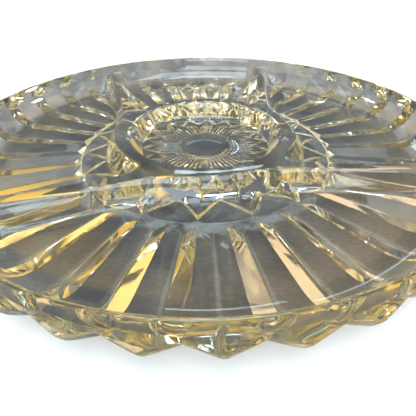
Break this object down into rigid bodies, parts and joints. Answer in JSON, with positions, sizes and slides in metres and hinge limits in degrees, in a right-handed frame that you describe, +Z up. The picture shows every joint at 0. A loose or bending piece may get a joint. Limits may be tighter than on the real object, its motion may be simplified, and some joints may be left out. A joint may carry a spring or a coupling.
{
  "type": "divided serving dish",
  "caption": "Round divided relish dish of clear pressed glass with a ringed centre well, raised partitions to the rim, radial ribs under the floor and a toothed rim.",
  "frame": {"origin": "centre of the dish on the surface that it stands on", "axes": "+Z up through the rim; +Y through the middle of the smaller outer compartment, so that the partitions lie in two pairs, each pair the same in a mirror across the Y axis; +X to the right when seen from -Y"},
  "size_m": [0.2678, 0.2678, 0.0263],
  "materials": {
    "pressed_glass": "pressed, fire-polished, smooth above, faint yellow tint, light wear on the rib lands"
  },
  "bodies": {
    "root": {"floor_plate": "pressed_glass", "rim_wall": "pressed_glass", "centre_ring": "pressed_glass", "divider_1": "pressed_glass", "divider_2": "pressed_glass", "divider_3": "pressed_glass", "divider_4": "pressed_glass"}
  },
  "joints": []
}
